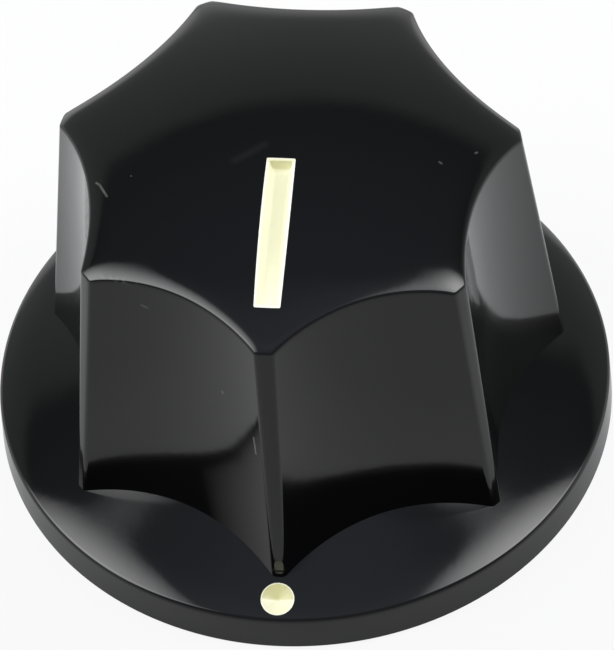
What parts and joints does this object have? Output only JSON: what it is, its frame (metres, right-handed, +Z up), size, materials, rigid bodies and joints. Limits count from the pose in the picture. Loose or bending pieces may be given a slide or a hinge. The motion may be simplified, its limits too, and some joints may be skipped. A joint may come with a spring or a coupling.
{
  "type": "control knob",
  "caption": "Fluted control knob with a domed top, round skirt, pointer line and skirt dot, a brass bushing for a potentiometer shaft and a set screw that clamps it.",
  "frame": {"origin": "centre of the skirt on the panel face, on the shaft axis", "axes": "+Z up the shaft axis towards the dome, pointer line and skirt dot towards -Y, set screw towards +Y"},
  "size_m": [0.019, 0.019, 0.0126],
  "materials": {
    "phenolic_black": "glossy moulded black phenolic",
    "brass": "turned and knurled",
    "screw_steel": "turned, lightly oiled",
    "cream_paint": "cream enamel wiped into the recesses"
  },
  "bodies": {
    "knob": {"knob_body": "phenolic_black", "brass_bushing": "brass", "pointer_line": "cream_paint", "skirt_dot": "cream_paint"},
    "set_screw": {"set_screw": "screw_steel"}
  },
  "joints": [
    {"name": "set_screw_travel", "type": "slide", "parent": "knob", "child": "set_screw", "axis": [0, 1, 0], "range_m": [-0.0016, 0.001]}
  ]
}
